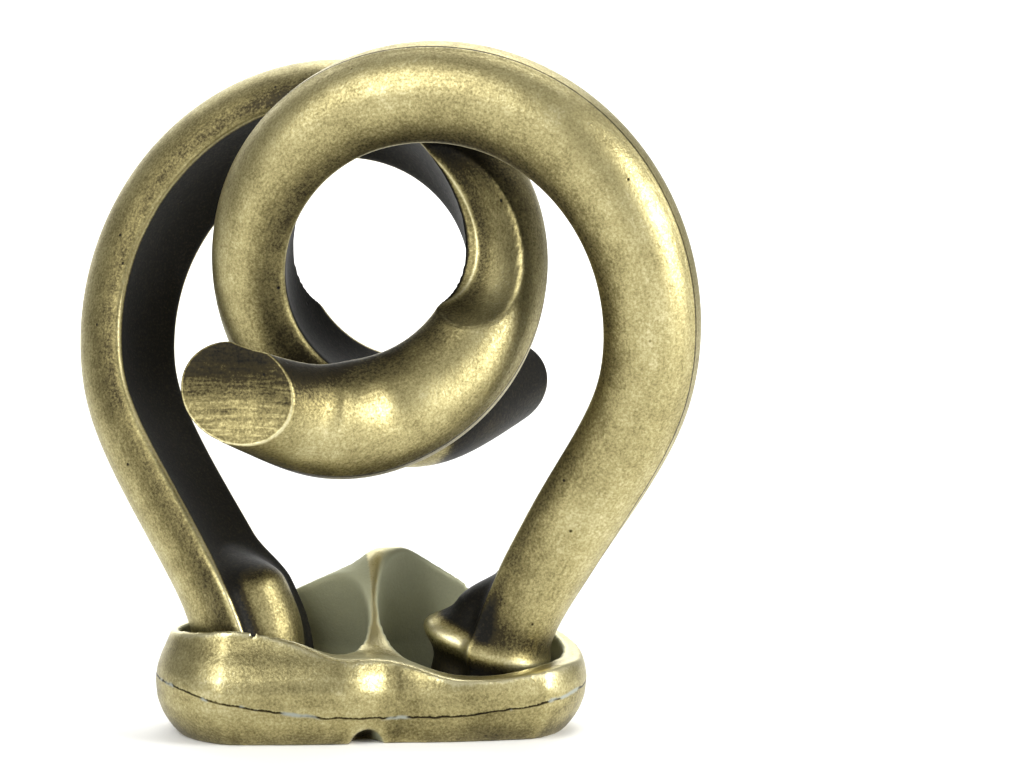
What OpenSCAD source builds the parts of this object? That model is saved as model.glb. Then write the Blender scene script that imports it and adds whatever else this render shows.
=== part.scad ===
// Three-piece cast puzzle: two interlocked hooks standing in a twin-ring base.
// Origin: on the table, midway between the two sockets. +X runs from the left
// socket to the right one and +Z is up. Sizes are in millimetres, angles in degrees.
// Both hooks follow the same path; the right one is the left one turned half a
// turn about Z, and only their feet differ.

/* [Hook] */
// Thickness of the hook's bar in its straight part
bar_d = 8.0; // [6.5:0.1:9.6]
// Radius of the loop where the bar runs into it
loop_r = 18.8; // [15.6:0.2:22.6]
// Radius of the curl where it runs out into the tip
curl_r = 9.6; // [8:0.2:12]
// Height of the loop's centre above the table
loop_z = 34.3; // [32:0.1:42]
// How far the loop's centre stands out from the middle of the puzzle
loop_out = 3.3; // [2:0.1:5]
// Turn of the loops' planes from the line between the sockets
loop_yaw = 24; // [19:1:30]
// Extra thickness of the curl at its lowest part
curl_extra = 0.9; // [0.4:0.1:1.4]
// Length of the straight end that is cut to make the tip's facet
tip_l = 4.2; // [3.4:0.1:5.2]
// Depth of the hollow along the bar's inner face
hollow = 0.6; // [0.2:0.1:1]
// Depth of the scoop that clears the other hook
scoop_depth = 1.7; // [0.8:0.1:2]

/* [Feet] */
// Reach of the knob on the left foot
knob_out = 2.9; // [2:0.1:3.2]
// Height of the knob's top above the foot's sole
knob_h = 11; // [9:0.5:13]
// Reach of the flare round the right foot's sole
flare_out = 0.8; // [0.4:0.1:1.2]
// Reach of the right foot's flange towards the middle
flange_out = 1.9; // [1.2:0.1:2.3]
// Height at which the right foot starts to flare
flare_h = 8.0; // [6:0.5:12]

/* [Base] */
// Distance between the centres of the two sockets
socket_pitch = 17.8; // [16.4:0.2:21.4]
// Inner diameter of a socket at its rim
socket_d = 12.8; // [11.8:0.1:15.4]
// Thickness of a ring's wall at its thickest
wall = 1.9; // [1.6:0.1:2.5]
// Height of the front rim
front_h = 7.0; // [5.5:0.1:8.4]
// Height of the rear peak above the septum
peak_h = 14.0; // [11.6:0.2:17]

/* [Clearance] */
// Gap between the sole of a foot and the table
sole_gap = 3.0; // [1.5:0.1:4]
// Gap kept between the two hooks where they cross
hook_gap = 0.5; // [0.2:0.1:1]
// Gap all round between a foot and its socket at the rim
foot_gap = 2.4; // [1.8:0.1:3]
// How far the hooks stand to the right of the middle of their sockets
stand_off = 0.2; // [0:0.1:0.6]

/* [Hidden] */

brass = "#b5a268";
dark_brass = "#8d7d4c";

// ---- Hook: path in the loop's own frame ----
// x runs across the loop, y away from the hook's front, z up. The path is a rise
// from the sole, a shrinking spiral over the top, and a nearly straight tip.
spiral_from = 200;
spiral_to = -80;
top_share = 0.4;                         // share of the spiral done at its top
side_depth = -0.05 * bar_d;              // depth where the spiral starts
top_depth = bar_d / 2 + hook_gap;        // each hook clears the other's bar
end_depth = -0.975 * bar_d;              // depth where the spiral ends
socket_x = socket_pitch / 2;
foot_x = -socket_x * cos(loop_yaw);
foot_y = -socket_x * sin(loop_yaw) - 0.2;
spread = foot_x - (loop_r * cos(spiral_from) - loop_out);  // from foot to loop
rise_handle = 0.5763 * spread;           // a wider spread starts higher up the bar
loop_handle = 7.2;
tip_bend = [-1.5, -4.8, 2.1];
n_rise = 27;
n_spiral = 60;
n_tip = 9;

function spiral_depth(q) =
    side_depth * (q - top_share) * (q - 1) / top_share
    + top_depth * q * (q - 1) / (top_share * (top_share - 1))
    + end_depth * q * (q - top_share) / (1 - top_share);
function spiral_point(q) =
    let (a = spiral_from + (spiral_to - spiral_from) * q)
    let (r = loop_r + (curl_r - loop_r) * q)
    [r * cos(a) - loop_out, spiral_depth(q), loop_z + r * sin(a)];
function unit(v) = v / norm(v);
function spiral_way(q) = unit(spiral_point(q + 0.002) - spiral_point(q - 0.002));
function bezier(a, b, c, d, u) =
    pow(1 - u, 3) * a + 3 * pow(1 - u, 2) * u * b + 3 * (1 - u) * u * u * c + u * u * u * d;
function rise_point(u) =
    let (sole = [foot_x, foot_y, sole_gap], join = spiral_point(0))
    bezier(sole, sole + [0, 0, rise_handle], join - spiral_way(0) * loop_handle, join, u);
function tip_point(u) = spiral_point(1) + spiral_way(1) * tip_l * u + tip_bend * u * u;

// t runs from 0 to 1 up the rise, to 2 round the spiral and to 3 at the tip
function path_point(t) =
    t <= 1 ? rise_point(t) : t <= 2 ? spiral_point(t - 1) : tip_point(t - 2);
function path_way(t) =
    let (before = path_point(max(t - 0.01, 0)), after = path_point(min(t + 0.01, 3)))
    t == 0 ? [0, 0, 1] : unit(after - before);

steps = concat(
    [for (i = [0:n_rise - 1]) i / n_rise],
    [for (i = [0:n_spiral - 1]) 1 + i / n_spiral],
    [for (i = [0:n_tip]) 2 + i / n_tip]);

// ---- Hook: section ----
// A round bar with its inner side cut off by a hollowed face between two creases.
// Angle from the outermost point round to a crease
crease_by_t = [[0, 124], [1, 121], [1.45, 121], [1.7, 130], [2, 139], [2.3, 147], [3, 160]];
n_round = 20;
n_hollow = 4;
half = bar_d / 2;
foot_half = socket_d / 2 - foot_gap;     // a foot is as thick as its socket allows
half_by_t = [[0, foot_half + 0.1], [0.25, foot_half + 0.05], [0.5, half], [1, half],
    [1.2, half + 0.2], [1.4, half + 0.2], [1.7, half + 0.15], [2, half + curl_extra],
    [2.35, half + curl_extra * 0.35], [3, half - 0.3]];
// Turn of the hollow face towards the hook's front
twist_by_t = [[0.6, 14], [1, 18], [1.2, 26], [1.38, 38], [1.52, 26], [1.75, -6], [2, -24],
    [2.3, -28], [3, -20]];
foot_twist = [22, -34];                  // knobbed foot, flared foot

function smooth(x) = let (c = min(max(x, 0), 1)) c * c * (3 - 2 * c);
// Extra reach of a foot, by height above its sole and angle from the outward side
function knob_reach(h, a) =
    knob_out * smooth((knob_h - h) / 4) * (1 - 0.45 * smooth((5 - h) / 5)) * pow(max(-cos(a), 0), 1.6);
function flare_reach(h, a) =
    let (inward = max(-cos(a), 0))
    flare_out * (pow(max(1 - h / flare_h, 0), 2) + 0.6 * smooth((13 - h) / 4) * inward * inward)
    + flange_out * smooth((flange_h - h) / 3.5) * pow(inward, 3)
    + exp(-pow((h - lip_h) / 1.3, 2)) * (0.35 + 1.4 * inward * inward);
flange_h = 9;                            // height of the flange above the sole
lip_h = 3.9;                             // the lip stands just above the base's rim
function foot_reach(knob, h, a) = knob ? knob_reach(h, a) : flare_reach(h, a);

function section_point(r, crease, i) =
    i <= n_round
    ? let (a = -crease + 2 * crease * i / n_round) [r * cos(a), r * sin(a)]
    : let (s = (i - n_round) / (n_hollow + 1) * 2 - 1)
      [r * cos(crease) + hollow * (1 - s * s), -s * r * sin(crease)];
n_section = n_round + n_hollow + 1;

// ---- Hook: scoop ----
// A long shallow dish in the front of the loop's upper right, where the other hook
// passes. The cutter is a ball stretched along the path.
scoop_t = 1.6;
scoop_r = 6.5;
scoop_stretch = 1.5;
scoop_side = [-0.15, -0.95, -0.15];       // from the path towards the cutter's centre
scoop_slew = [0.2, 0, 0.2];              // lean of the dish from the path

function scooped(p, c) =
    let (side = unit(scoop_side), axis = unit(path_way(scoop_t) + scoop_slew))
    let (o = path_point(scoop_t) + side * (half + scoop_r - scoop_depth))
    let (shrink = 1 - 1 / scoop_stretch)
    let (v = p - o, w = c - p)
    let (vs = v - axis * (v * axis) * shrink, ws = w - axis * (w * axis) * shrink)
    let (qa = ws * ws, qb = 2 * (vs * ws), qc = vs * vs - scoop_r * scoop_r)
    let (disc = qb * qb - 4 * qa * qc)
    (qc >= 0 || disc <= 0) ? p : p + w * min((-qb + sqrt(disc)) / (2 * qa), 0.6);

// ---- Hook: facet ----
facet_normal = unit([0.06, -0.99, 0.08]);
facet_from = 2.25;                       // t where the sections start to lean

function ring(knob, t) =
    let (c = path_point(t), way = path_way(t))
    let (front = unit([0, -1, 0] - way * -way[1]))
    let (out = cross(front, way))
    let (tw = lookup(t, concat([[0, foot_twist[knob ? 0 : 1]]], twist_by_t)))
    let (e1 = out * cos(tw) - front * sin(tw), e2 = front * cos(tw) + out * sin(tw))
    let (lean = smooth((t - facet_from) / (3 - facet_from)))
    let (plane = unit(way * (1 - lean) + facet_normal * lean))
    [for (i = [0:n_section - 1])
        let (s = section_point(lookup(t, half_by_t), lookup(t, crease_by_t), i))
        let (a = atan2(s[1], s[0]), r = norm(s) + foot_reach(knob, c[2] - sole_gap, a))
        let (flat = e1 * r * cos(a) + e2 * r * sin(a))
        let (p = c + flat - way * ((flat * plane) / (way * plane)))
        scooped(p, c)];

module hook(knob) {
    rings = [for (t = steps) ring(knob, t)];
    n = n_section;
    last = len(rings) - 1;
    points = [for (r = rings) each r];
    sides = [for (k = [0:last - 1], i = [0:n - 1])
        let (j = (i + 1) % n)
        each [[k * n + i, (k + 1) * n + i, (k + 1) * n + j], [k * n + i, (k + 1) * n + j, k * n + j]]];
    sole = [for (i = [0:n - 1]) i];
    facet = [for (i = [n - 1:-1:0]) last * n + i];
    rotate([0, 0, -loop_yaw])
        polyhedron(points, concat([sole], sides, [facet]), convexity = 8);
}

module left_hook() {
    color(brass)
        translate([stand_off, 0, 0])
            hook(true);
}

module right_hook() {
    color(brass)
        translate([stand_off, 0, 0])
            rotate([0, 0, 180])
                hook(false);
}

// ---- Base ----
ring_r = socket_d / 2 + wall;
bow_z = 4.2;                             // a ring's wall is widest at this height
bow_in = 1.9;                            // how far the wall leans in at the table
waist_r = 6;
septum_t = 1.6;
throat_d = socket_d - 1.6;               // a socket narrows to this at the table
top_z = peak_h + 4;
front_rim = [[-20, 0.6], [-16, 1.4], [-11, 2], [-7, 0.8], [-3, -0.4], [0, 0.2], [3, -1.4],
    [6, -2], [10, -1.7], [14, -1.2], [20, -1.3]];
rear_rim = [[-20, 0.05], [-12, 0.2], [-6, 0.45], [-1, 0.82], [1, 1], [3.4, 0.98], [9, 0.5], [12, 0.2],
    [20, -0.1]];

function front_z(x) = front_h + lookup(x, front_rim);
function rear_z(x) = front_h + (peak_h - front_h) * lookup(x, rear_rim);
function rim_z(x, y) = let (s = smooth((y + 4) / 9)) front_z(x) * (1 - s) + rear_z(x) * s;

// Everything above the rim's rise and fall
module above_rim() {
    half_l = socket_x + ring_r + 1;
    half_w = ring_r + 1;
    nx = 40;
    ny = 22;
    function gx(i) = half_l * (2 * i / nx - 1);
    function gy(j) = half_w * (2 * j / ny - 1);
    low = [for (i = [0:nx], j = [0:ny]) [gx(i), gy(j), rim_z(gx(i), gy(j))]];
    high = [for (i = [0:nx], j = [0:ny]) [gx(i), gy(j), top_z + 1]];
    m = ny + 1;
    h = len(low);
    cells = [for (i = [0:nx - 1], j = [0:ny - 1])
        let (a = i * m + j, b = a + m)
        each [[a, b + 1, a + 1], [a, b, b + 1],
            [h + a, h + a + 1, h + b + 1], [h + a, h + b + 1, h + b]]];
    ends = [for (j = [0:ny - 1], e = [0, nx])
        let (a = e * m + j)
        e == 0 ? [a, a + 1, h + a + 1, h + a] : [a, h + a, h + a + 1, a + 1]];
    flanks = [for (i = [0:nx - 1], e = [0, ny])
        let (a = i * m + e)
        e == 0 ? [a, h + a, h + a + m, a + m] : [a, a + m, h + a + m, h + a]];
    polyhedron(concat(low, high), concat(cells, ends, flanks), convexity = 10);
}

function bow(z) =
    z < bow_z ? bow_in * pow(1 - z / bow_z, 2.6) : min(1.4 * pow((z - bow_z) / 4, 1.8), wall - 0.5);

module ring_body(x) {
    translate([x, 0, 0])
        rotate_extrude($fn = 64)
            polygon(concat(
                [[0, 0]],
                [for (z = [0:0.7:top_z]) [ring_r - bow(z), z]],
                [[0, floor(top_z / 0.7) * 0.7]]));
}

module socket(x) {
    side = x < 0 ? 1 : -1;
    inner_r = socket_d / 2 - 1.6;
    translate([x, 0, -0.5])
        cylinder(h = 5, d1 = throat_d, d2 = throat_d, $fn = 48);
    hull() {
        translate([x, 0, 2.5])
            cylinder(h = top_z, d1 = throat_d, d2 = socket_d, $fn = 48);
        translate([x, 0, 6])
            cylinder(h = top_z, d = socket_d, $fn = 48);
        translate([-side * (septum_t / 2 + inner_r), 0, 6.5])
            cylinder(h = top_z, r = inner_r, $fn = 48);
    }
}

module twin_ring_base() {
    length = socket_pitch + 2 * ring_r;
    color(dark_brass)
        resize([length, 0, 0])
            difference() {
                hull() {
                    ring_body(-socket_x);
                    ring_body(socket_x);
                }
                translate([0, ring_r + 2, -1])
                    cylinder(h = top_z + 3, r = waist_r, $fn = 48);
                for (x = [-socket_x, socket_x])
                    socket(x);
                above_rim();
            }
}

left_hook();
right_hook();
twin_ring_base();
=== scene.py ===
# Antique brass cast puzzle: two interlocked hooks standing in a twin-ring base.
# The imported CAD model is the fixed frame. Each of its three castings is replaced by a
# finished one in the same place: the hooks are swept along their own centreline, and
# the base is cut from a solid, skinned and smoothed the way a wax pattern is.
# Lengths in this script are millimetres until the last step of each piece.
import math

import bmesh
import bpy
import numpy as np
from mathutils import Matrix, Vector


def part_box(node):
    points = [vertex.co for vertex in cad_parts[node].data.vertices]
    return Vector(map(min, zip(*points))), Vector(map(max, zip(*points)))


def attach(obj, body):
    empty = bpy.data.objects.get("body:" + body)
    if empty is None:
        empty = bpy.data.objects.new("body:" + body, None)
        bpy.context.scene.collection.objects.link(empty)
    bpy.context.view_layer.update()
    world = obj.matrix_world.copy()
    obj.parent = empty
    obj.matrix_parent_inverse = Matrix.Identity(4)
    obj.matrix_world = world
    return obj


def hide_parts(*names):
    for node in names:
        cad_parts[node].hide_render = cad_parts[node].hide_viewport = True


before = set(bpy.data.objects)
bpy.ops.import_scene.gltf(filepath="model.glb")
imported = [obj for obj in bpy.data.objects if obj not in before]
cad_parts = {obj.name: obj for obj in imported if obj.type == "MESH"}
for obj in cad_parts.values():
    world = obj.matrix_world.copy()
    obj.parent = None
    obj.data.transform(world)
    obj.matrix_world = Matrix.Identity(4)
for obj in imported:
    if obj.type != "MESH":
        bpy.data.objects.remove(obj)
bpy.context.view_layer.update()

MM = 0.001


def cad_size(node):
    """Lowest and highest corner of a CAD node in millimetres."""
    return [np.array(corner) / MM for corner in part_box(node)]


base_low, base_high = cad_size("twin_ring_base")
left_low = cad_size("left_hook")[0]
right_high = cad_size("right_hook")[1]

# ---- driving sizes ----
SOLE_Z = left_low[2]
STAND_OFF = (left_low[0] + right_high[0]) / 2
BAR = 8.0
HALF = BAR / 2
WALL = 1.9
BASE_LENGTH = base_high[0] - base_low[0]
RING_R = (base_high[1] - base_low[1]) / 2
SOCKET_X = BASE_LENGTH / 2 - RING_R
SOCKET_R = RING_R - WALL
PEAK_Z = base_high[2]
FRONT_Z = 7.0

LOOP_R = 18.8
CURL_R = 9.6
LOOP_Z = 34.3
LOOP_OUT = 3.3
LOOP_YAW = 24
CURL_EXTRA = 0.9
TIP_LENGTH = 4.2
HOLLOW = 0.6
SCOOP_DEPTH = 1.7
HOOK_GAP = 0.5
FOOT_BACK = 0.2  # how far the feet stand off the line between the sockets


def smooth(x):
    x = np.clip(x, 0, 1)
    return x * x * (3 - 2 * x)


def bump_at(x, centre, width):
    """A soft hill of height 1 at centre."""
    return np.exp(-(((x - centre) / width) ** 2))


def unit(v):
    return v / np.linalg.norm(v, axis=-1, keepdims=True)


def dot(a, b):
    return (a * b).sum(-1, keepdims=True)


# ---- hook: centreline, in the loop's own frame (x across, y away from its front) ----
SPIRAL_FROM, SPIRAL_TO = math.radians(200), math.radians(-80)
TOP_SHARE = 0.4
SIDE_DEPTH, TOP_DEPTH, END_DEPTH = -0.05 * BAR, HALF + HOOK_GAP, -0.975 * BAR
YAW = math.radians(LOOP_YAW)
SOLE = np.array([-SOCKET_X * math.cos(YAW), -SOCKET_X * math.sin(YAW) - FOOT_BACK, SOLE_Z])
RISE_HANDLE, LOOP_HANDLE = 7.4, 7.2
TIP_BEND = np.array([-1.5, -4.8, 2.1])


def spiral_point(q):
    """The loop shrinks from its outer radius to the curl's while q runs 0 to 1."""
    q = np.asarray(q, float)
    turn = SPIRAL_FROM + (SPIRAL_TO - SPIRAL_FROM) * q
    r = LOOP_R + (CURL_R - LOOP_R) * q
    s = TOP_SHARE
    depth = (
        SIDE_DEPTH * (q - s) * (q - 1) / s
        + TOP_DEPTH * q * (q - 1) / (s * (s - 1))
        + END_DEPTH * q * (q - s) / (1 - s)
    )
    return np.stack([r * np.cos(turn) - LOOP_OUT, depth, LOOP_Z + r * np.sin(turn)], -1)


def spiral_way(q):
    """Which way the spiral runs at q."""
    return unit(spiral_point(q + 0.002) - spiral_point(q - 0.002))


def centreline(t):
    """t runs 0 to 1 up the bar, to 2 round the loop and to 3 along the tip."""
    t = np.asarray(t, float)[..., None]
    u = np.clip(t, 0, 1)
    join = spiral_point(0)
    low_pull = SOLE + np.array([0, 0, RISE_HANDLE])
    high_pull = join - spiral_way(0) * LOOP_HANDLE
    rise = (
        (1 - u) ** 3 * SOLE
        + 3 * (1 - u) ** 2 * u * low_pull
        + 3 * (1 - u) * u * u * high_pull
        + u**3 * join
    )
    loop = spiral_point(np.clip(t[..., 0] - 1, 0, 1))
    v = np.clip(t - 2, 0, 1)
    tip = spiral_point(1) + spiral_way(1) * TIP_LENGTH * v + TIP_BEND * v * v
    return np.where(t <= 1, rise, np.where(t <= 2, loop, tip))


# ---- hook: section, an angle of 0 being the outermost point and 90 the front ----
def bar_half(t):
    return HALF + np.interp(
        t,
        [0, 0.5, 1, 1.2, 1.4, 1.7, 2, 2.35, 3],
        [0.1, 0, 0, 0.2, 0.2, 0.15, CURL_EXTRA, CURL_EXTRA * 0.35, -0.3],
    )


def crease_angle(t):
    return np.radians(
        np.interp(t, [0, 1, 1.45, 1.7, 2, 2.3, 3], [124, 121, 121, 130, 139, 147, 160])
    )


def section_twist(t, foot_twist):
    """How far the hollow face is turned to the front: it winds round the bar."""
    return np.radians(
        np.interp(
            t,
            [0, 0.6, 1, 1.2, 1.38, 1.52, 1.75, 2, 2.3, 3],
            [foot_twist, 14, 18, 26, 38, 26, -6, -24, -28, -20],
        )
    )


ROUND_POINTS = 80
HOLLOW_POINTS = 32
STATION = 0.27  # spacing of the sections along the bar
SECTION_EASE = 200  # smoothing passes over what changes along the bar
CREASE_WEAR = 5  # smoothing passes round each section
RIDGE_RISE = 0.07  # the parting line stands up a little
DENT_AT = 98.0  # a pressed place in front of the curl, by its distance along the bar
DENT_DEPTH = 0.35

# ---- hook: feet, by height above the sole ----
LEFT_FOOT_TWIST, RIGHT_FOOT_TWIST = 22, -34
KNOB_OUT, KNOB_TOP = 2.9, 11.0
FLARE_OUT, FLARE_TOP = 0.8, 8.0
FLANGE_OUT, FLANGE_TOP = 1.9, 9.0
LIP_H = 3.9  # the finished lip is a little lower and thinner than the CAD one


def knob_reach(h, a):
    """The left foot bulges towards the middle in a rounded knob."""
    inward = np.maximum(-np.cos(a), 0)
    lobe = KNOB_OUT * smooth((KNOB_TOP - h) / 4) * (1 - 0.45 * smooth((5 - h) / 5))
    heel = 0.35 * bump_at(h, 5.5, 2.2) * np.maximum(np.cos(a), 0)
    return lobe * inward**1.6 + heel


def flare_reach(h, a):
    """The right foot opens like a trumpet, with a flange towards the middle."""
    inward = np.maximum(-np.cos(a), 0)
    trumpet = FLARE_OUT * np.maximum(1 - h / FLARE_TOP, 0) ** 2
    flange = FLANGE_OUT * smooth((FLANGE_TOP - h) / 3.5) * inward**3
    shoulder = 0.5 * smooth((13 - h) / 4) * inward**2
    lip = bump_at(h, LIP_H - 0.3, 1.0) * (0.35 + 1.4 * inward**2)
    return trumpet + flange + shoulder + lip


# ---- hook: scoop that clears the other hook, and the facet on the tip ----
SCOOP_T = 1.6
SCOOP_R = 6.5
SCOOP_STRETCH = 1.5
SCOOP_SIDE = unit(np.array([-0.15, -0.95, -0.15]))
SCOOP_SLEW = np.array([0.2, 0, 0.2])
FACET_NORMAL = unit(np.array([0.06, -0.99, 0.08]))
FACET_FROM = 2.25
FACET_DISH = 0.6


def scooped(points, centres):
    """Draws points towards the centreline, out of a ball stretched along the bar."""
    near = centreline([SCOOP_T - 0.01, SCOOP_T, SCOOP_T + 0.01])
    axis = unit(unit(near[2] - near[0]) + SCOOP_SLEW)
    ball = near[1] + SCOOP_SIDE * (HALF + SCOOP_R - SCOOP_DEPTH)
    shrink = 1 - 1 / SCOOP_STRETCH
    v, w = points - ball, centres - points
    v = v - axis * dot(v, axis) * shrink
    w = w - axis * dot(w, axis) * shrink
    qa, qb, qc = dot(w, w), 2 * dot(v, w), dot(v, v) - SCOOP_R**2
    disc = np.maximum(qb * qb - 4 * qa * qc, 0)
    share = np.where(qc < 0, (-qb + np.sqrt(disc)) / (2 * qa), 0)
    moved = points + (centres - points) * np.clip(share, 0, 0.6)
    return moved, smooth(share[..., 0] * 6)


def even_stations():
    """Places evenly spaced along the bar, and their distance from the sole."""
    t = np.linspace(0, 3, 3001)
    steps = np.linalg.norm(np.diff(centreline(t), axis=0), axis=1)
    along = np.concatenate([[0], np.cumsum(steps)])
    count = int(along[-1] / STATION)
    s = np.linspace(0, along[-1], count)
    return np.interp(s, along, t), s


def eased(values, passes=60):
    """Takes the corners off values that change along the bar."""
    values = np.array(values, float)
    for _ in range(passes):
        values[1:-1] = (values[:-2] + 2 * values[1:-1] + values[2:]) / 4
    return values


def hook_sections(reach, foot_twist):
    """Sections of the hook in the loop's frame, and what the finish needs to know."""
    t, along = even_stations()
    centre = eased(centreline(t))
    way = unit(np.gradient(centre, axis=0))
    way[0] = (0, 0, 1)
    front = np.array([0, -1.0, 0]) - way * -way[:, 1:2]
    front = unit(front)
    out = np.cross(front, way)
    twist = eased(section_twist(t, foot_twist), SECTION_EASE)[:, None]
    e1 = out * np.cos(twist) - front * np.sin(twist)
    e2 = front * np.cos(twist) + out * np.sin(twist)

    half = eased(bar_half(t), SECTION_EASE)[:, None]
    crease = eased(crease_angle(t), SECTION_EASE)[:, None]
    arc = np.linspace(-1, 1, ROUND_POINTS)[None, :] * crease
    chord = np.linspace(-1, 1, HOLLOW_POINTS + 2)[None, 1:-1]
    hollow = HOLLOW * np.interp(t, [1.6, 2, 2.4], [1, 0.7, 0.2])[:, None]
    px = np.hstack([half * np.cos(arc), half * np.cos(crease) + hollow * (1 - chord**2)])
    py = np.hstack([half * np.sin(arc), -chord * half * np.sin(crease)])
    for _ in range(CREASE_WEAR):  # the creases are worn round
        px = (np.roll(px, 1, 1) + 2 * px + np.roll(px, -1, 1)) / 4
        py = (np.roll(py, 1, 1) + 2 * py + np.roll(py, -1, 1)) / 4

    angle = np.arctan2(py, px)
    h = (centre[:, 2:] - SOLE_Z) + 0 * angle
    on_rise = (t < 1)[:, None]
    grow = np.where(on_rise, reach(h, angle), 0)
    ridge = RIDGE_RISE * bump_at(angle * half, 0, 0.22) * smooth((along[:, None] - 8) / 6)
    dent = DENT_DEPTH * bump_at(along[:, None], DENT_AT, 2.0) * bump_at(angle * half, 6.0, 3.0)
    r = np.hypot(px, py) + grow + ridge - dent
    flat = e1[:, None] * (r * np.cos(angle))[..., None]
    flat = flat + e2[:, None] * (r * np.sin(angle))[..., None]

    lean = smooth((t - FACET_FROM) / (3 - FACET_FROM))[:, None]
    plane = unit(way * (1 - lean) + FACET_NORMAL * lean)[:, None]
    cut = way[:, None] * (dot(flat, plane) / dot(way, plane[:, 0])[:, None])
    points, in_scoop = scooped(centre[:, None] + flat - cut, centre[:, None])

    index = np.arange(px.shape[1])[None, :]
    inside = (index >= ROUND_POINTS) * 1.0
    spacing = 2 * half * crease / ROUND_POINTS
    from_crease = np.minimum(np.abs(index + 0.5), np.abs(index - ROUND_POINTS + 0.5)) * spacing
    facts = {
        "t": t,
        "angle": angle,
        "height": h,
        "inside": inside,
        "from_crease": from_crease,
        "in_scoop": in_scoop,
        "bar": np.stack([along[:, None] + 0 * px, r * np.cos(angle), r * np.sin(angle)], -1),
    }
    return points, facts


def crowding(points):
    """1 where the other hook is close by, falling off over a few millimetres."""
    other = centreline(np.linspace(0, 3, 160)) * (-1, -1, 1)
    gap = np.full(points.shape[:2], 99.0)
    for place in other:
        gap = np.minimum(gap, np.linalg.norm(points - place, axis=2))
    return np.exp(-((np.maximum(gap - HALF - 0.4, 0) / 2.6) ** 2))


def sweep(sections, marks):
    """Skins closed sections into a bmesh; marks are per-point values kept on it."""
    bm = bmesh.new()
    layers = {}
    for name, values in marks.items():
        kinds = bm.verts.layers.float_vector if values.ndim == 3 else bm.verts.layers.float
        layers[name] = kinds.new(name)

    def settle(ring, k):
        for v, place in zip(ring, sections[k]):
            v.co = place
        for name, layer in layers.items():
            for v, value in zip(ring, marks[name][k]):
                v[layer] = Vector(value) if marks[name].ndim == 3 else float(value)

    around = sections.shape[1]
    made = bmesh.ops.create_circle(bm, segments=around, radius=1)["verts"]
    ring = sorted(made, key=lambda v: math.atan2(v.co.y, v.co.x))
    settle(ring, 0)
    edges = list(bm.edges)
    for k in range(1, len(sections)):
        grown = bmesh.ops.extrude_edge_only(bm, edges=edges)["geom"]
        fresh = {g for g in grown if isinstance(g, bmesh.types.BMVert)}
        ring = [
            next(e.other_vert(v) for e in v.link_edges if e.other_vert(v) in fresh)
            for v in ring
        ]
        settle(ring, k)
        edges = [
            g
            for g in grown
            if isinstance(g, bmesh.types.BMEdge) and fresh.issuperset(g.verts)
        ]
    return bm


def finish_piece(bm, name, body, node, material):
    """Turns a bmesh in millimetres into a piece that stands for its CAD node."""
    bmesh.ops.remove_doubles(bm, verts=bm.verts, dist=0.0005)
    bmesh.ops.recalc_face_normals(bm, faces=bm.faces)
    bmesh.ops.scale(bm, vec=(MM, MM, MM), verts=bm.verts)
    mesh = bpy.data.meshes.new(name)
    bm.to_mesh(mesh)
    bm.free()
    mesh.polygons.foreach_set("use_smooth", [True] * len(mesh.polygons))
    piece = bpy.data.objects.new(name, mesh)
    bpy.context.scene.collection.objects.link(piece)
    mesh.materials.append(material)
    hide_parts(node)
    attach(piece, body)
    return piece


def caps(sections, marks):
    """Closes both ends with shrinking rings: a flat sole and a dished facet."""
    first, last = sections[0], sections[-1]
    start, end = first.mean(0), last.mean(0)
    sole_shares = [0.0, 0.3, 0.6, 0.85, 0.95]
    sole = [start + (first - start) * s for s in sole_shares]
    first[:] = start + (first - start) * 0.985
    rim_shares = [0.985, 0.96, 0.93, 0.89, 0.84, 0.78, 0.7, 0.6, 0.48, 0.34, 0.18, 0.0]
    facet = []
    for s in rim_shares:
        sink = FACET_DISH * smooth((0.97 - s) / 0.9)
        facet.append(end + (last - end) * s - FACET_NORMAL * sink)
    whole = np.concatenate([np.array(sole), sections, np.array(facet)])
    grown = {}
    for name, values in marks.items():
        low = np.repeat(values[:1], len(sole), 0)
        high = np.repeat(values[-1:], len(facet), 0)
        grown[name] = np.concatenate([low, values, high])
    # The facet is brushed: its rim is bright, partly rubbed and partly a painted highlight, and
    # painted shade makes it darker towards its top.
    grown["facet"][-len(facet) :] = 1
    grown["worn"][-len(facet) :] = 0
    grown["worn"][-len(facet) - 1 : -len(facet) + 1] = 0.8
    rise = np.array(facet)[..., 2] - end[2]
    grown["patina"][-len(facet) :] = 0.16 + 0.5 * smooth(rise / 5 + 0.5)
    return whole, grown


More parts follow.
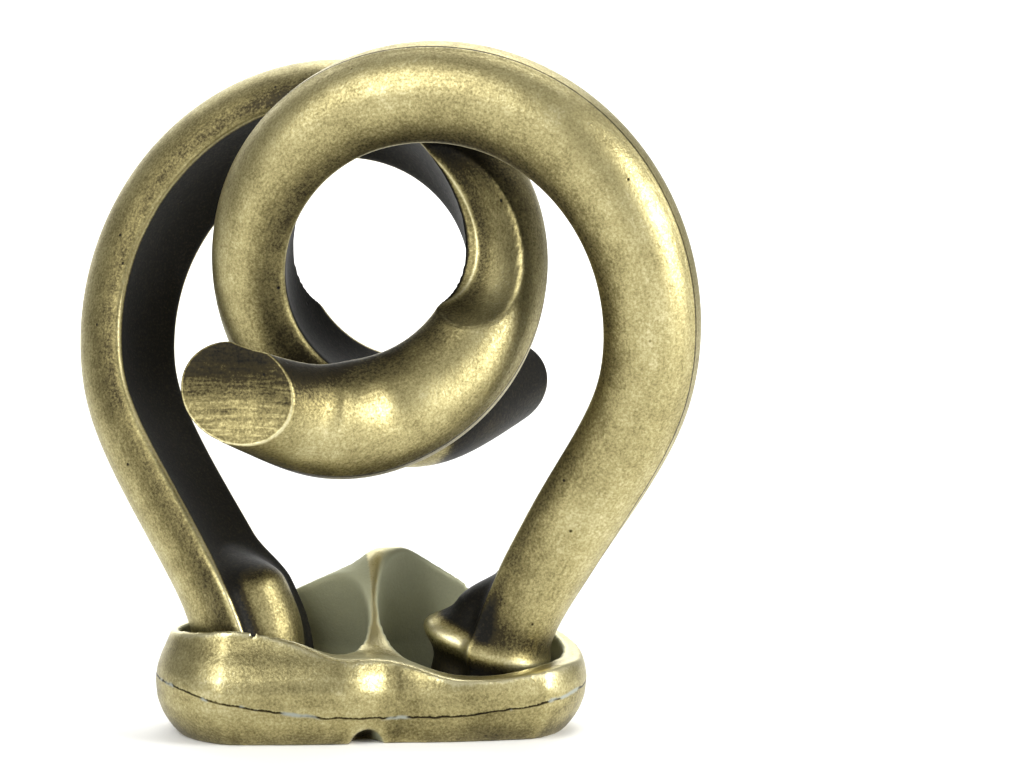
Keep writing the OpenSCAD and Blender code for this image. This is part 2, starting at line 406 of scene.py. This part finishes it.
def hook(name, right, material):
    """One finished hook; the right one is turned half a turn about the upright."""
    reach = flare_reach if right else knob_reach
    foot_twist = RIGHT_FOOT_TWIST if right else LEFT_FOOT_TWIST
    sections, facts = hook_sections(reach, foot_twist)
    t = facts["t"][:, None]
    a, h, inside = facts["angle"], facts["height"], facts["inside"]
    edge = facts["from_crease"]

    # The inner face keeps its dark patina, and the creases beside it are made bright: partly rubbed
    # wear, partly a painted highlight.
    depth_in = smooth(edge / 0.6) * inside
    fades = np.interp(facts["t"], [0, 2.1, 2.6, 3], [1, 1, 0.7, 0.3])[:, None]
    patina = depth_in * fades * (1 - 0.85 * facts["in_scoop"])
    if right:  # dark above the lip and below it, bright on it
        # the flank above the lip is darkened, partly patina and partly painted shade in the socket;
        # below the lip is painted shade; the bright lip is rubbed wear with a painted highlight
        on_foot = (h < 18) * (t < 1)
        above_lip = smooth((h - LIP_H - 0.3) / 0.8)
        flank_patina_and_shade = 0.95 * smooth((np.abs(a) - 1.75) / 0.25) * above_lip * smooth((9.5 - h) / 4)
        flank_patina_and_shade = flank_patina_and_shade + 0.35 * bump_at(h, LIP_H + 1.6, 1.4)
        below_lip_shade = 0.5 * smooth((LIP_H - 0.8 - h) / 0.8)
        patina = np.where(on_foot, np.maximum(patina * above_lip, flank_patina_and_shade) + below_lip_shade, patina)
    else:  # the knob's face is rubbed as bright as the bar
        knob_face = smooth((KNOB_TOP - 1.5 - h) / 3) * (t < 1)
        patina = patina * (1 - 0.9 * knob_face * smooth((np.abs(a) - 2.2) / 0.4))
    # Tumbling media rub less beside the creases and on the curl's outer side and its upper edge.
    # Painted shade darkens the crossing, where it is partly patina the media could not reach, the low
    # part of the feet and the back of the tip.
    beside = 0.34 * smooth((np.abs(a) - 1.15) / 0.9) * (1 - inside)
    curl = smooth((t - 1.75) / 0.3)
    both_sides = smooth((0.7 - np.abs(a)) / 0.7) + smooth((a - 1.9) / 0.5)
    beside = beside + 0.3 * curl * both_sides * (1 - inside)
    # painted shade where the other hook comes close, partly patina the media could not reach
    crossing_patina_and_shade = 0.6 * crowding(sections)
    # painted shade: darker low on the feet
    low = 0.25 * smooth((5 - h) / 5) * (t < 1)
    # painted shade on the back of the tip
    tip_back_shade = 0.7 * smooth((0.1 - np.sin(a)) / 0.6) * smooth((t - 1.98) / 0.25)
    patina = patina + (1 - patina) * np.clip(beside + crossing_patina_and_shade + low + tip_back_shade, 0, 1)
    crease_wear_and_sheen = np.interp(facts["t"], [0, 1.5, 1.9, 2.3, 3], [1, 1, 0.7, 0.2, 0.1])
    # painted highlight along the creases, together with rubbed wear
    worn = bump_at(edge, 0, 0.45) * crease_wear_and_sheen[:, None]
    if right:
        # painted highlight along the lip, together with its rubbed wear
        worn = np.where(on_foot, worn * above_lip + 0.9 * bump_at(h, LIP_H - 0.2, 0.55), worn)
    marks = {
        # dark patina together with the painted shade added above
        "patina": patina,
        "worn": worn,
        "facet": np.zeros_like(patina),
        "bar": facts["bar"],
    }
    sections, marks = caps(sections, marks)
    bm = sweep(sections, marks)
    turn = Matrix.Rotation(-YAW + (math.pi if right else 0), 4, "Z")
    bmesh.ops.transform(bm, matrix=turn, verts=bm.verts)
    bmesh.ops.translate(bm, vec=(STAND_OFF, 0, 0), verts=bm.verts)
    side = "right" if right else "left"
    return finish_piece(bm, name, f"{side}_hook", f"{side}_hook", material)


# ---- base ----
BOW_Z = 4.2
BOW_LOW = 1.9
SEPTUM = 0.9
THROAT_R = SOCKET_R - 0.8
SKIN = 0.2  # grid of the skin that is drawn round the base


def outline_shrink(z):
    """How far the wall draws in below and above its widest height."""
    low = BOW_LOW * np.maximum(1 - z / BOW_Z, 0) ** 2.3
    high = np.minimum(1.5 * np.maximum((z - BOW_Z) / 4, 0) ** 1.7, WALL - 0.6)
    return low + high


RIM_X = np.linspace(-22, 22, 221)
FRONT_RIM = FRONT_Z + eased(
    np.interp(
        RIM_X,
        [-20, -16, -11, -7, -3.6, -0.6, 2, 5, 8, 11, 14, 20],
        [0.5, 1.1, 1.9, 1.0, -0.5, -0.3, -0.9, -1.9, -2.0, -1.6, -1.1, -1.2],
    ),
    40,
)
REAR_RIM = FRONT_Z + (PEAK_Z - FRONT_Z) * eased(
    np.interp(
        RIM_X,
        [-20, -12, -6, -1, 0.6, 3.4, 9, 12, 20],
        [0.05, 0.2, 0.45, 0.82, 1.01, 0.99, 0.5, 0.2, -0.1],
    ),
    10,
)


def rim_height(x, y):
    """The rim blends from its low front to its high rear."""
    front = np.interp(x, RIM_X, FRONT_RIM)
    rear = np.interp(x, RIM_X, REAR_RIM)
    s = smooth((y + 4) / 9)
    return front * (1 - s) + rear * s


def ring_outline(z, count=160):
    """Outline of the joined rings at one height, drawn in at the front and rear waist."""
    r = RING_R - float(outline_shrink(z))
    turn = np.linspace(0, 2 * math.pi, count, endpoint=False)
    reach = SOCKET_X * np.clip(np.cos(turn) * 2.2, -1, 1)
    x = reach + r * np.cos(turn)
    y = r * np.sin(turn)
    front = 1.3 * bump_at(x, 1.0, 2.8) * (y < 0) * smooth((z + 1) / 3)
    front = front + 0.9 * smooth((z - 4.5) / 4) * (y < 0)
    rear = 2.6 * bump_at(x, 0, 4.0) * (y > 0)
    y = y * (1 - (front + rear) / RING_R)
    return np.stack([x, y, 0 * x + z], -1)


def plain_object(bm, name):
    """An object without a material, for the base's blank and its cutters."""
    bmesh.ops.recalc_face_normals(bm, faces=bm.faces)
    mesh = bpy.data.meshes.new(name)
    bm.to_mesh(mesh)
    bm.free()
    thing = bpy.data.objects.new(name, mesh)
    bpy.context.scene.collection.objects.link(thing)
    return thing


def lofted(levels, name):
    """A closed solid through outlines that have the same number of points."""
    bm = sweep(np.array(levels), {})
    bmesh.ops.holes_fill(bm, edges=[e for e in bm.edges if e.is_boundary])
    return plain_object(bm, name)


def socket_cutter(side):
    """The tapering well that a foot stands in, flattened where it meets the septum."""
    turn = np.linspace(0, 2 * math.pi, 96, endpoint=False)
    levels = []
    for z in (-0.5, 0.6, 1.6, 2.6, 4, 6, 9, 13, PEAK_Z + 3):
        share = float(smooth(z / 7))
        r = THROAT_R + (SOCKET_R - THROAT_R) * share
        x = r * np.cos(turn)
        stretch = (SOCKET_X - SEPTUM / 2) / r
        toward = np.cos(turn) * -side > 0
        x = np.where(toward, x * (1 + (stretch - 1) * share), x)
        y = r * np.sin(turn)
        y = np.where(y < 0, y * (1 - 0.11 * share), y)
        levels.append(np.stack([x + side * SOCKET_X, y, 0 * x + z], -1))
    return lofted(levels, f"socket_{side}")


def rim_cutter():
    """Everything above the rise and fall of the rim."""
    bm = bmesh.new()
    bmesh.ops.create_grid(bm, x_segments=90, y_segments=50, size=1)
    for v in bm.verts:
        x = v.co.x * (SOCKET_X + RING_R + 2)
        y = v.co.y * (RING_R + 2)
        v.co = (x, y, float(rim_height(x, y)))
    roof = bmesh.ops.extrude_face_region(bm, geom=bm.faces[:])["geom"]
    for v in roof:
        if isinstance(v, bmesh.types.BMVert):
            v.co.z = PEAK_Z + 5
    return plain_object(bm, "above_rim")


def ball_cutter(centre, size, name):
    bm = bmesh.new()
    bmesh.ops.create_icosphere(bm, subdivisions=4, radius=1)
    bmesh.ops.scale(bm, vec=size, verts=bm.verts)
    bmesh.ops.translate(bm, vec=centre, verts=bm.verts)
    return plain_object(bm, name)


def cut_base():
    """The base as a triangle skin after its cutters, as a bmesh in millimetres."""
    top = PEAK_Z + 2
    heights = [0, 0.25, 0.6, 1.1, 1.8, 2.8, 4.2, 5.2, 6.2, 7.2, 8.2, 9.5, 11, 13, top]
    body = lofted([ring_outline(z) for z in heights], "base_blank")
    cutters = [socket_cutter(-1), socket_cutter(1), rim_cutter()]
    cutters.append(ball_cutter((-1.3, -RING_R + 0.6, -0.4), (1.5, 3.4, 1.7), "foot_notch"))
    for cutter in cutters:
        cut = body.modifiers.new(cutter.name, "BOOLEAN")
        cut.operation = "DIFFERENCE"
        cut.solver = "EXACT"
        cut.object = cutter
    skin = body.modifiers.new("skin", "REMESH")
    skin.mode = "VOXEL"
    skin.voxel_size = SKIN
    skin.adaptivity = 0
    seen = body.evaluated_get(bpy.context.evaluated_depsgraph_get())
    bm = bmesh.new()
    bm.from_mesh(seen.to_mesh())
    seen.to_mesh_clear()
    for thing in [body] + cutters:
        bpy.data.objects.remove(thing)
    return bm


def twin_ring_base(material):
    """The finished base, with marks for its inner walls, its rim and its hollows."""
    bm = cut_base()
    for _ in range(4):
        bmesh.ops.smooth_vert(
            bm, verts=bm.verts, factor=0.5, use_axis_x=True, use_axis_y=True, use_axis_z=True
        )
    bm.normal_update()
    inner = bm.verts.layers.float.new("inner")
    rim = bm.verts.layers.float.new("rim")
    hollows = bm.verts.layers.float.new("patina")
    for v in bm.verts:
        x, y, z = v.co
        side = -1 if x < 0 else 1
        to_axis = Vector((side * SOCKET_X - x, -y, 0))
        facing = v.normal.dot(to_axis.normalized())
        v[inner] = float(smooth((facing - 0.05) / 0.35))
        v[rim] = float(bump_at(z - rim_height(x, y), 0, 0.4))
        around = sum((e.other_vert(v).co for e in v.link_edges), Vector()) / len(v.link_edges)
        # concavity, which darkens the hollows: patina, partly painted shade
        v[hollows] = (around - v.co).dot(v.normal) / SKIN
    for _ in range(4):
        softened = [
            (v[hollows] + sum(e.other_vert(v)[hollows] for e in v.link_edges))
            / (1 + len(v.link_edges))
            for v in bm.verts
        ]
        for v, value in zip(bm.verts, softened):
            v[hollows] = value
    return finish_piece(
        bm, "base_casting", "base", "twin_ring_base", material
    )


# ---- finishes ----
def linear(code):
    """sRGB hex to linear colour."""
    parts = [int(code[i : i + 2], 16) / 255 for i in (1, 3, 5)]
    parts = [c / 12.92 if c <= 0.04045 else ((c + 0.055) / 1.055) ** 2.4 for c in parts]
    return (*parts, 1)


def new_finish(name):
    """A material with its nodes cleared, and helpers that add nodes to it."""
    material = bpy.data.materials.new(name)
    material.use_nodes = True
    tree = material.node_tree
    tree.nodes.clear()

    def add(kind, settings=(), **inputs):
        """A node with its settings, and its inputs as values or as sockets to link."""
        node = tree.nodes.new(kind)
        for key, value in dict(settings).items():
            setattr(node, key, value)
        for key, value in inputs.items():
            place = int(key[1:]) if key[1:].isdigit() else key.replace("_", " ")
            if isinstance(value, bpy.types.NodeSocket):
                tree.links.new(value, node.inputs[place])
            else:
                node.inputs[place].default_value = value
        return node

    def math_node(operation, a, b=0.5, c=0.5, clamp=False):
        node = add("ShaderNodeMath", {"operation": operation, "use_clamp": clamp}, _0=a, _1=b, _2=c)
        return node.outputs[0]

    return material, add, math_node


def antique_brass():
    """Antique brass: brass plate over a zinc casting, darkened in a chemical bath and
    then tumbled. The high places are rubbed back to pale satin brass, the hollows keep
    a brown-black patina, and the skin has the fine tooth of tumbling media."""
    material, add, math_node = new_finish("antique_brass_tumbled")
    place = add("ShaderNodeTexCoord").outputs["Object"]
    bar = add("ShaderNodeAttribute", {"attribute_name": "bar"}).outputs["Vector"]
    patina = add("ShaderNodeAttribute", {"attribute_name": "patina"}).outputs["Fac"]
    worn = add("ShaderNodeAttribute", {"attribute_name": "worn"}).outputs["Fac"]
    facet = add("ShaderNodeAttribute", {"attribute_name": "facet"}).outputs["Fac"]

    cloud = add("ShaderNodeTexNoise", Vector=place, Scale=1000 / 7.0, Detail=3.0).outputs["Fac"]
    mottle = add("ShaderNodeTexNoise", Vector=place, Scale=1000 / 1.4, Detail=4.0, Roughness=0.6)
    # The tooth is about 0.1 mm wide and is drawn at 0.2 mm so that it shows.
    tooth = add("ShaderNodeTexNoise", Vector=place, Scale=1000 / 0.2, Detail=2.0, Roughness=0.7)
    # Rubbing marks run along the bar.
    drawn = add("ShaderNodeVectorMath", {"operation": "MULTIPLY"}, _0=bar, _1=(0.3, 2.6, 2.6))
    rub = add("ShaderNodeTexNoise", Vector=drawn.outputs[0], Scale=1.6, Detail=4.0, Roughness=0.65)
    # The mould's parting line runs round the outside of the bar.
    section = add("ShaderNodeSeparateXYZ", Vector=bar)
    off_line = math_node("ABSOLUTE", section.outputs["Z"])
    outside = math_node("GREATER_THAN", section.outputs["Y"], 0.0)
    parting = math_node("SUBTRACT", 1.0, smooth_step(add, off_line, 0.04, 0.13))
    parting = math_node("MULTIPLY", parting, outside)
    parting = math_node("MULTIPLY", parting, math_node("SUBTRACT", 1.0, facet))
    # Casting pits of 0.2 to 0.3 mm, one every few millimetres.
    grid = add("ShaderNodeTexVoronoi", Vector=place, Scale=1000 / 2.4)
    pit_size = add("ShaderNodeSeparateXYZ", Vector=grid.outputs["Color"])
    rare = math_node("GREATER_THAN", pit_size.outputs["X"], 0.55)
    pit = math_node("SUBTRACT", 1.0, smooth_step(add, grid.outputs["Distance"], 0.02, 0.075))
    pit = math_node("MULTIPLY", pit, rare)

    tone = math_node("MULTIPLY_ADD", mottle.outputs["Fac"], 0.28, -0.14)
    tone = math_node("MULTIPLY_ADD", rub.outputs["Fac"], 0.22, tone)
    tone = math_node("MULTIPLY_ADD", cloud, 0.35, tone)
    tone = math_node("ADD", tone, -0.05)
    # darker by the patina mark: real patina, and painted shade at the crossing, feet, tip's back,
    # facet top and socket
    tone = math_node("ADD", tone, patina)
    # brighter by the wear mark: rubbed creases and edges with painted highlights on them
    tone = math_node("SUBTRACT", tone, math_node("MULTIPLY", worn, 0.5), clamp=True)
    speck = math_node("MULTIPLY_ADD", tooth.outputs["Fac"], 0.62, -0.31)
    tone = math_node("ADD", tone, speck)
    # Brushing on the facet, about 0.2 mm between strokes, drawn at 0.3 mm.
    strokes = add(
        "ShaderNodeMapping", Vector=place, Rotation=(0, 0.2, 0), Scale=(330.0, 330.0, 3600.0)
    )
    brush = add("ShaderNodeTexNoise", Vector=strokes.outputs[0], Scale=1.0, Detail=2.0)
    stroke = math_node("MULTIPLY", math_node("SUBTRACT", brush.outputs["Fac"], 0.5), facet)
    tone = math_node("MULTIPLY_ADD", stroke, 0.5, tone, clamp=True)
    tone = math_node("MULTIPLY_ADD", parting, 0.4, tone)
    tone = math_node("MULTIPLY_ADD", pit, 0.5, tone, clamp=True)

    ramp = add("ShaderNodeValToRGB", Fac=tone)
    set_stops(
        ramp,
        [(0.0, "#cdc59c"), (0.2, "#aaa072"), (0.42, "#7a714c"), (0.68, "#393322"), (1.0, "#12110d")],
    )

    rough = math_node("MULTIPLY_ADD", tone, 0.16, 0.33)
    rough = math_node("MULTIPLY_ADD", tooth.outputs["Fac"], 0.12, rough)
    metal = math_node("MULTIPLY_ADD", smooth_step(add, tone, 0.55, 1.0), -0.2, 1.0)

    height = math_node("MULTIPLY", tooth.outputs["Fac"], 0.35)
    height = math_node("MULTIPLY_ADD", mottle.outputs["Fac"], 0.9, height)
    height = math_node("MULTIPLY_ADD", stroke, 1.0, height)
    height = math_node("MULTIPLY_ADD", pit, -1.5, height)
    height = math_node("MULTIPLY_ADD", parting, -0.6, height)
    bump = add("ShaderNodeBump", Strength=0.35, Distance=0.00012, Height=height)

    shader = add(
        "ShaderNodeBsdfPrincipled",
        Base_Color=ramp.outputs["Color"],
        Metallic=metal,
        Roughness=rough,
        Normal=bump.outputs["Normal"],
    )
    add("ShaderNodeOutputMaterial", Surface=shader.outputs["BSDF"])
    return material


def set_stops(ramp, stops):
    """Gives a colour ramp its stops, as places and hex colours."""
    elements = ramp.color_ramp.elements
    while len(elements) < len(stops):
        elements.new(0.5)
    for element, (at, code) in zip(elements, stops):
        element.position = at
        element.color = linear(code)


def smooth_step(add, value, low, high):
    """0 below low and 1 above high, with a soft step between."""
    node = add(
        "ShaderNodeMapRange",
        {"interpolation_type": "SMOOTHSTEP"},
        Value=value,
        From_Min=low,
        From_Max=high,
    )
    return node.outputs["Result"]


def antique_brass_base():
    """The base has the same plate, but its inner walls never met the tumbling media:
    they stay a dull green-grey."""
    material, add, math_node = new_finish("antique_brass_with_dull_wells")
    place = add("ShaderNodeTexCoord").outputs["Object"]
    inner = add("ShaderNodeAttribute", {"attribute_name": "inner"}).outputs["Fac"]
    hollows = add("ShaderNodeAttribute", {"attribute_name": "patina"}).outputs["Fac"]

    cloud = add("ShaderNodeTexNoise", Vector=place, Scale=1000 / 6.0, Detail=3.0).outputs["Fac"]
    mottle = add("ShaderNodeTexNoise", Vector=place, Scale=1000 / 1.6, Detail=4.0, Roughness=0.6)
    tooth = add("ShaderNodeTexNoise", Vector=place, Scale=1000 / 0.2, Detail=2.0, Roughness=0.7)
    rim = add("ShaderNodeAttribute", {"attribute_name": "rim"}).outputs["Fac"]
    # The parting line sags from the ends to the middle, and the plate has chipped along it.
    mm = add("ShaderNodeVectorMath", {"operation": "MULTIPLY"}, _0=place, _1=(1000, 1000, 1000))
    spot = add("ShaderNodeSeparateXYZ", Vector=mm.outputs[0])
    from_middle = math_node("SUBTRACT", spot.outputs["X"], 1.0)
    sag = math_node("MULTIPLY_ADD", math_node("MULTIPLY", from_middle, from_middle), 0.0075, 1.9)
    wander = math_node("MULTIPLY_ADD", mottle.outputs["Fac"], 0.5, sag)
    above = math_node("SUBTRACT", spot.outputs["Z"], wander)
    off_line = math_node("ABSOLUTE", above)
    parting = math_node("SUBTRACT", 1.0, smooth_step(add, off_line, 0.03, 0.12))
    parting = math_node("MULTIPLY", parting, math_node("SUBTRACT", 1.0, inner))
    chip_line = math_node("SUBTRACT", 1.0, smooth_step(add, off_line, 0.04, 0.26))
    chips = add("ShaderNodeTexNoise", Vector=place, Scale=1000 / 2.2, Detail=3.0).outputs["Fac"]
    chip = math_node("MULTIPLY", chip_line, smooth_step(add, chips, 0.54, 0.64))
    chip = math_node("MULTIPLY", chip, math_node("LESS_THAN", spot.outputs["Y"], -2.0))

    tone = math_node("MULTIPLY_ADD", mottle.outputs["Fac"], 0.34, -0.17)
    tone = math_node("MULTIPLY_ADD", cloud, 0.6, tone)
    # darker in concave places: patina, partly painted shade beneath the lobes
    tone = math_node("MULTIPLY_ADD", hollows, 5.0, tone)
    tone = math_node("MULTIPLY_ADD", tooth.outputs["Fac"], 0.6, tone)
    tone = math_node("MULTIPLY_ADD", rim, -0.14, tone)
    tone = math_node("MULTIPLY_ADD", smooth_step(add, spot.outputs["Z"], 2.5, 0.0), 0.22, tone)
    tone = math_node("ADD", tone, -0.3, clamp=True)
    tone = math_node("MULTIPLY_ADD", parting, 0.5, tone, clamp=True)
    ramp = add("ShaderNodeValToRGB", Fac=tone)
    set_stops(
        ramp,
        [(0.0, "#ccc49b"), (0.22, "#a89e70"), (0.46, "#776e4a"), (0.72, "#373121"), (1.0, "#14120e")],
    )
    dull = add(
        "ShaderNodeMix",
        {"data_type": "RGBA"},
        _0=math_node("MULTIPLY", inner, 0.9),
        _6=ramp.outputs["Color"],
        _7=linear("#999b80"),
    )
    chipped = add(
        "ShaderNodeMix",
        {"data_type": "RGBA"},
        _0=chip,
        _6=dull.outputs[2],
        _7=linear("#a3a79d"),
    )
    rough = math_node("MULTIPLY_ADD", tone, 0.16, 0.34)
    rough = math_node("MULTIPLY_ADD", inner, 0.2, rough, clamp=True)
    metal = math_node("MULTIPLY_ADD", inner, -0.45, 1.0)
    height = math_node("MULTIPLY", tooth.outputs["Fac"], 0.35)
    height = math_node("MULTIPLY_ADD", mottle.outputs["Fac"], 0.9, height)
    bump = add("ShaderNodeBump", Strength=0.35, Distance=0.00012, Height=height)
    shader = add(
        "ShaderNodeBsdfPrincipled",
        Base_Color=chipped.outputs[2],
        Metallic=metal,
        Roughness=rough,
        Normal=bump.outputs["Normal"],
    )
    add("ShaderNodeOutputMaterial", Surface=shader.outputs["BSDF"])
    return material


# ---- stage ----
def studio():
    """A white paper sweep, three soft boxes on the puzzle, one on the paper, a dim sky."""
    bm = bmesh.new()
    bmesh.ops.create_grid(bm, x_segments=1, y_segments=1, size=1.5)
    back = [e for e in bm.edges if all(v.co.y > 1 for v in e.verts)]
    for rise, lean in ((0.02, 0.10), (0.08, 0.08), (0.18, 0.04), (1.4, 0.0)):
        grown = bmesh.ops.extrude_edge_only(bm, edges=back)["geom"]
        fresh = [g for g in grown if isinstance(g, bmesh.types.BMVert)]
        bmesh.ops.translate(bm, vec=(0, lean, rise), verts=fresh)
        back = [g for g in grown if isinstance(g, bmesh.types.BMEdge) and set(g.verts) <= set(fresh)]
    sheet = bpy.data.meshes.new("paper_sweep")
    bm.to_mesh(sheet)
    bm.free()
    sheet.polygons.foreach_set("use_smooth", [True] * len(sheet.polygons))
    sweep_paper = bpy.data.objects.new("paper_sweep", sheet)
    bpy.context.scene.collection.objects.link(sweep_paper)
    paper, add, _ = new_finish("white_paper")
    shader = add("ShaderNodeBsdfPrincipled", Base_Color=linear("#f6f6f4"), Roughness=0.9)
    add("ShaderNodeOutputMaterial", Surface=shader.outputs["BSDF"])
    sheet.materials.append(paper)

    world = bpy.data.worlds.new("light_sky")
    world.use_nodes = True
    sky = world.node_tree.nodes["Background"]
    sky.inputs["Color"].default_value = (1, 1, 1, 1)
    sky.inputs["Strength"].default_value = 0.4
    bpy.context.scene.world = world
    bpy.context.scene.view_settings.view_transform = "Standard"

    target = Vector((0, 0, 0.028))
    boxes = [
        ("key_box", (-0.30, -0.34, 0.30), (0.40, 0.40), 2.3),
        ("fill_box", (0.36, -0.24, 0.16), (0.16, 0.26), 2.2),
        ("top_box", (0.10, 0.16, 0.46), (0.34, 0.20), 1.0),
        ("sweep_box", (0.0, 0.9, 1.1), (1.6, 0.4), 30.0),
    ]
    for name, at, size, power in boxes:
        lamp = bpy.data.lights.new(name, "AREA")
        lamp.shape = "RECTANGLE"
        lamp.size, lamp.size_y = size
        lamp.energy = power
        holder = bpy.data.objects.new(name, lamp)
        holder.location = at
        aim = Vector((0, 1.7, 0.2)) if name == "sweep_box" else target
        holder.rotation_euler = (aim - Vector(at)).to_track_quat("-Z", "Y").to_euler()
        bpy.context.scene.collection.objects.link(holder)


def camera():
    """Looks at the puzzle from a little left of the front and just above its middle."""
    azimuth, elevation, roll = (math.radians(a) for a in (-8.0, 1.35, 0.5))
    target = Vector((0, 0, 28.6)) * MM
    distance = 161 * MM
    right = Vector((math.cos(azimuth), math.sin(azimuth), 0))
    back = Vector(
        (
            math.sin(azimuth) * math.cos(elevation),
            -math.cos(azimuth) * math.cos(elevation),
            math.sin(elevation),
        )
    )
    up = back.cross(right)
    across = right * math.cos(roll) + up * math.sin(roll)
    upright = up * math.cos(roll) - right * math.sin(roll)
    lens = bpy.data.cameras.new("camera")
    lens.lens = 71.4
    lens.clip_start = 0.005
    lens.shift_x, lens.shift_y = 0.1333, -0.0152
    eye = bpy.data.objects.new("camera", lens)
    turn = Matrix((across, upright, back)).transposed().to_4x4()
    eye.matrix_world = Matrix.Translation(target + back * distance) @ turn
    bpy.context.scene.collection.objects.link(eye)
    bpy.context.scene.camera = eye


brass = antique_brass()
hook("left_hook_casting", False, brass)
hook("right_hook_casting", True, brass)
twin_ring_base(antique_brass_base())
studio()
camera()

bpy.context.view_layer.update()
